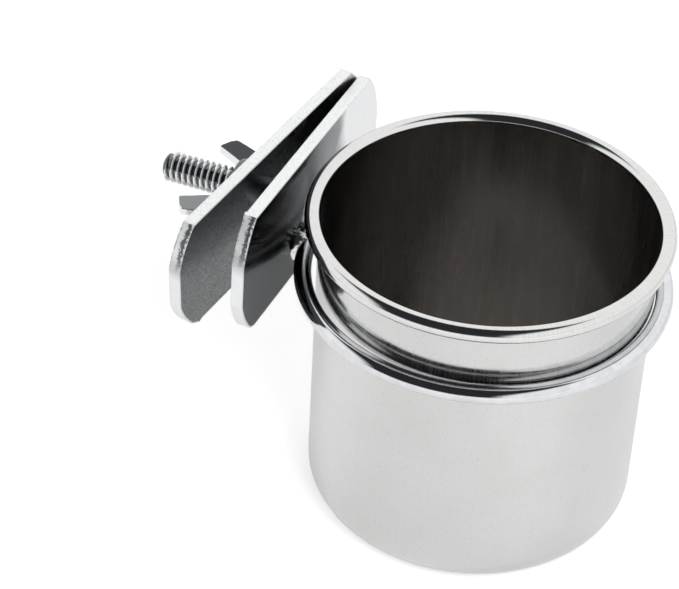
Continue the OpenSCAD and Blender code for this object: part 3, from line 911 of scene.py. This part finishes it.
# The floor is lifted to white where it is seen directly, and a little where metal mirrors it
rays = add(tree, "ShaderNodeLightPath")
mirror_lift = add(tree, "ShaderNodeMath", {"operation": "MULTIPLY"},
                  {0: rays.outputs["Is Glossy Ray"], 1: 0.06})
floor_lift = add(tree, "ShaderNodeMath", {"operation": "MULTIPLY_ADD"},
                 {0: rays.outputs["Is Camera Ray"], 1: 0.35, 2: mirror_lift.outputs[0]})
feed(tree, shader, {"Emission Color": (1, 1, 1, 1), "Emission Strength": floor_lift.outputs[0]})
floor.data.materials.append(pale)

LIT = "#FFFFFF"
UNLIT = "#2C2C2F"
LEVEL = "#AEAEAE"
world = bpy.data.worlds.new("studio")
bpy.context.scene.world = world
world.use_nodes = True
tree = world.node_tree
tree.nodes.clear()
# The unlit part of the room is an arch overhead, from the horizon in front, at 0, past straight up,
# at 0.5, and it ends before the two side walls. Only mirror reflections see it.
direction = add(tree, "ShaderNodeTexCoord")
aim = add(tree, "ShaderNodeSeparateXYZ", None, {0: direction.outputs["Generated"]})
ahead = add(tree, "ShaderNodeMath", {"operation": "MULTIPLY"}, {0: aim.outputs["Y"], 1: -1.0})
climb = add(tree, "ShaderNodeMath", {"operation": "ARCTAN2"},
            {0: aim.outputs["Z"], 1: ahead.outputs[0]})
arch_share = add(tree, "ShaderNodeMapRange", None,
                 {"Value": climb.outputs[0], "From Min": 0.0, "From Max": math.pi})
arch = add(tree, "ShaderNodeValToRGB",
           {"stops": [(0.0, LIT), (0.04, UNLIT), (0.56, UNLIT), (0.6, LIT)]},
           {"Fac": arch_share.outputs[0]})
side_share = add(tree, "ShaderNodeMapRange", None,
                 {"Value": aim.outputs["X"], "From Min": -1.0, "From Max": 1.0})
sides = add(tree, "ShaderNodeValToRGB",
            {"stops": [(0.14, LIT), (0.2, UNLIT), (0.72, UNLIT), (0.79, LIT)]},
            {"Fac": side_share.outputs[0]})
ceiling = add(tree, "ShaderNodeMix", {"data_type": "RGBA", "blend_type": "LIGHTEN"},
              {"Factor": 1.0, "A": arch.outputs[0], "B": sides.outputs[0]})
path = add(tree, "ShaderNodeLightPath")
mirrored = add(tree, "ShaderNodeMath", {"operation": "MAXIMUM"},
               {0: path.outputs["Is Glossy Ray"], 1: path.outputs["Is Transmission Ray"]})
reflected = add(tree, "ShaderNodeMix", {"data_type": "RGBA"},
                {"Factor": mirrored.outputs[0], "A": linear(LEVEL), "B": ceiling.outputs["Result"]})
backdrop = add(tree, "ShaderNodeMix", {"data_type": "RGBA"},
               {"Factor": path.outputs["Is Camera Ray"], "A": reflected.outputs["Result"],
                "B": (1, 1, 1, 1)})
background = add(tree, "ShaderNodeBackground", None,
                 {"Color": backdrop.outputs["Result"], "Strength": 1.0})
add(tree, "ShaderNodeOutputWorld", None, {"Surface": background.outputs[0]})

# Each lamp: place, width, height and power
LAMPS = [("right_lamp", (0.55, -0.45, 0.75), 0.5, 0.5, 5),
         ("left_lamp", (-0.8, -0.2, 0.5), 0.4, 0.6, 2),
         ("back_lamp", (0.1, 0.9, 0.6), 0.8, 0.35, 2.2),
         ("front_lamp", (-0.2, -0.9, 0.5), 0.4, 0.4, 2)]
LAMP_AIM = Vector((0, 0, 0.04))
for name, spot, width, depth, power in LAMPS:
    data = bpy.data.lights.new(name, "AREA")
    data.shape = "RECTANGLE"
    data.size = width
    data.size_y = depth
    data.energy = power
    lamp = in_scene(name, data)
    lamp.location = spot
    lamp.rotation_euler = (LAMP_AIM - Vector(spot)).to_track_quat("-Z", "Y").to_euler()
    lamp.visible_glossy = False

# The camera's place, its three directions and its lens come from a fit to the outlines of the cup
CAMERA_PLACE = (0.11485, -0.36662, 0.35235)
CAMERA_RIGHT = (0.91765, 0.39536, 0.04010)
CAMERA_UP = (-0.27693, 0.56387, 0.77805)
CAMERA_BACK = (0.28500, -0.72508, 0.62692)
LENS = 137.6
view = bpy.data.cameras.new("photo_view")
view.sensor_width = 36
view.lens = LENS
view.clip_start = 0.01
view.clip_end = 20
camera = in_scene("photo_view", view)
camera.matrix_world = Matrix.Translation(CAMERA_PLACE) @ Matrix(
    (CAMERA_RIGHT, CAMERA_UP, CAMERA_BACK)).transposed().to_4x4()
bpy.context.scene.camera = camera
bpy.context.scene.view_settings.view_transform = "Standard"
